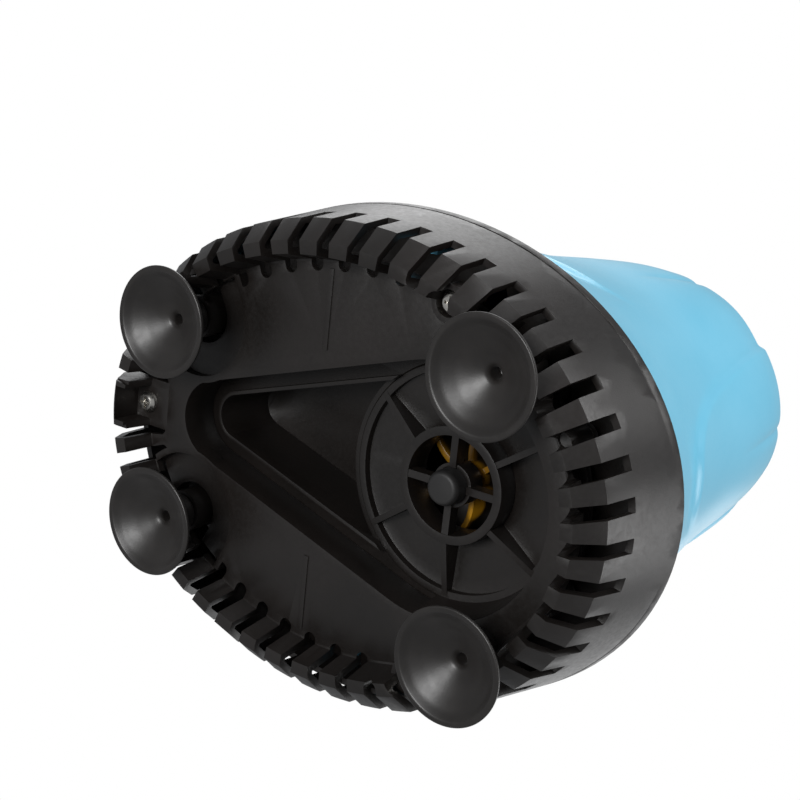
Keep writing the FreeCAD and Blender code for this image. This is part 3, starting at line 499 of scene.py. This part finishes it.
PETALS = 5
PITCH = 360.0 / PETALS
FIRST_CREASE = 142.0       # angle of the first crease between two petals
PETAL_FOOT_Z = 72.0        # lowest point of a petal
PETAL_RISE = 84.0          # how far its edge climbs from there to the crease
PETAL_CURVE = 3.3          # a higher power gives a blunter end
PETAL_DEPTH = 1.5
STEP = (-1.6, 2.6)         # where the step starts below the edge and ends above it
RUN_OUT = 15.0             # below the edge the sunk surface comes back over this distance
LEFT_SIDE = 20.0           # degrees over which the step fades out past the middle of a petal
FOOT_BLEND_Z = (44.0, 60.0)
VEIN_DEPTH = 0.8
VEIN_Z = (108.0, 142.0)    # the vein deepens between these heights
VEIN_WIDTH = 2.2
VEIN_SHARPNESS = 1.3


def outline_at(z):
    """Centre x, half length and half width of the cover at a height, smooth between the rows."""
    k = 1
    while OUTLINES[k + 1][0] < z:
        k += 1
    o, a, b, c = OUTLINES[k - 1:k + 3]
    step = b[0] - a[0]
    t = (z - a[0]) / step
    found = []
    for i in (1, 2, 3):
        rise_a = (b[i] - o[i]) / (b[0] - o[0]) * step
        rise_b = (c[i] - a[i]) / (c[0] - a[0]) * step
        found.append(a[i] + t * (rise_a + t * (3 * (b[i] - a[i]) - 2 * rise_a - rise_b
                                               + t * (rise_a + rise_b - 2 * (b[i] - a[i])))))
    return found


def ease(value, start, end):
    """0 before start, 1 after end, smooth between them."""
    t = min(1.0, max(0.0, (value - start) / (end - start)))
    return t * t * (3 - 2 * t)


def petal_depth(angle, z):
    """How far the surface lies below the petals, in millimetres: a step along the left edge and
    the foot of each petal, which runs out over the petal beside it, and the vein at the top."""
    from_vein = (math.degrees(angle) - FIRST_CREASE) % PITCH - PITCH / 2
    gap = 0.0
    for across in (from_vein, from_vein - PITCH):
        part = abs(across) / (PITCH / 2)
        edge_z = PETAL_FOOT_Z + PETAL_RISE * part ** PETAL_CURVE
        slope = PETAL_RISE * PETAL_CURVE * part ** (PETAL_CURVE - 1) / (PITCH / 2)
        inside = (z - edge_z) / math.hypot(1.0, slope)
        step = (1 - ease(inside, *STEP)) * (1 - ease(-inside, 0.0, RUN_OUT))
        gap = max(gap, step * (1 - ease(across, 0.0, LEFT_SIDE)))
    vein = VEIN_DEPTH * ease(z, *VEIN_Z) * math.exp(-(abs(from_vein) / VEIN_WIDTH) ** VEIN_SHARPNESS)
    return PETAL_DEPTH * gap * ease(z, *FOOT_BLEND_Z) + vein


def cover_ring(work, outline_z, z, shrink=1.0, relief=1.0):
    """One ring of points round the cover, at height z, with the outline of height outline_z."""
    cx, a, b = outline_at(outline_z)
    ring = []
    for k in range(COVER_STEPS):
        angle = 2 * math.pi * k / COVER_STEPS
        depth = petal_depth(angle, outline_z) * relief
        ring.append(work.verts.new(((cx + (a - depth) * shrink * math.cos(angle)) * MM,
                                    (b - depth) * shrink * math.sin(angle) * MM, z * MM)))
    return ring


def cover_mesh():
    """Outer surface of the cover: its wall, and the rounded crown that closes it."""
    work = bmesh.new()
    heights = [FOOT_Z + (EDGE_Z - FOOT_Z) * k / (WALL_ROWS - 1) for k in range(WALL_ROWS)]
    rings = [cover_ring(work, z, z) for z in heights]
    for k in range(1, CROWN_ROWS + 1):
        t = k / CROWN_ROWS
        z = EDGE_Z + (CROWN_Z - EDGE_Z) * math.sin(t * math.pi / 2)
        shrink = 1.0 - CROWN_DRAW_IN * (1 - math.cos(t * math.pi / 2))
        rings.append(cover_ring(work, EDGE_Z, z, shrink, 1 - t))
    for lower, upper in zip(rings, rings[1:]):
        for k in range(COVER_STEPS):
            m = (k + 1) % COVER_STEPS
            work.faces.new((lower[k], lower[m], upper[m], upper[k]))
    work.faces.new(rings[-1])
    mesh = bpy.data.meshes.new("body_cover_shell")
    work.to_mesh(mesh)
    work.free()
    for face in mesh.polygons:
        face.use_smooth = True
    return mesh


TAB_SIZE = Vector((7.0, 1.8, 14.0)) * MM
TAB_PLACE = Vector((-11.5, 57.5, 29.4)) * MM


def tab_mesh():
    """Two snap tabs, one on each side, that reach down behind the comb."""
    work = bmesh.new()
    for side in (1, -1):
        made = bmesh.ops.create_cube(work, size=1.0)
        bmesh.ops.scale(work, vec=TAB_SIZE, verts=made["verts"])
        bmesh.ops.translate(work, vec=(TAB_PLACE.x, side * TAB_PLACE.y, TAB_PLACE.z), verts=made["verts"])
    mesh = bpy.data.meshes.new("body_cover_tabs")
    work.to_mesh(mesh)
    work.free()
    return mesh


shell_mesh = cover_mesh()
cover = bpy.data.objects.new(shell_mesh.name, shell_mesh)
wall = cover.modifiers.new("wall", "SOLIDIFY")
wall.thickness = COVER_WALL
wall.offset = -1.0
tabs_mesh = tab_mesh()
tabs = bpy.data.objects.new(tabs_mesh.name, tabs_mesh)
for part in (cover, tabs):
    bpy.context.scene.collection.objects.link(part)
    part.data.materials.append(blue_abs)
    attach(part, "pump")
    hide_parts("body_cover")
